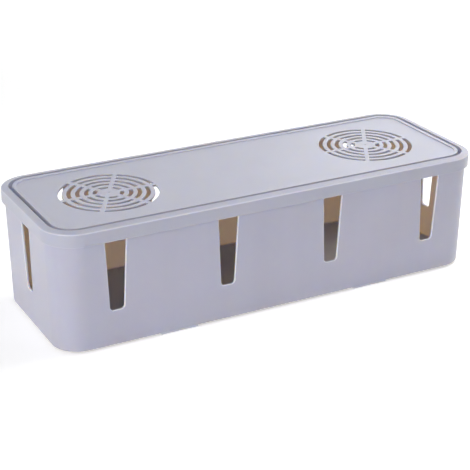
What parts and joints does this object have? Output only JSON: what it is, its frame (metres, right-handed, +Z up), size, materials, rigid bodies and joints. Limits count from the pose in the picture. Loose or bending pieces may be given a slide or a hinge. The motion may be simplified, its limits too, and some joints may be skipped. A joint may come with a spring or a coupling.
{
  "type": "cable management box",
  "caption": "Long rounded plastic tub with tapered cable slots in its four walls and a grooved lift-off lid with two round vents, to hide a power strip.",
  "frame": {"origin": "on the surface that the box stands on, under the middle of the box", "axes": "+X along the box's length, +Y across it towards the back, +Z up out of the lid"},
  "size_m": [0.38, 0.134, 0.101],
  "materials": {
    "tub_plastic": "satin",
    "lid_plastic": "satin"
  },
  "bodies": {
    "tub": {"tub": "tub_plastic"},
    "lid": {"lid": "lid_plastic"}
  },
  "joints": [
    {"name": "lid_lift", "type": "slide", "parent": "tub", "child": "lid", "axis": [0, 0, 1], "range_m": [0, 0.06]}
  ]
}
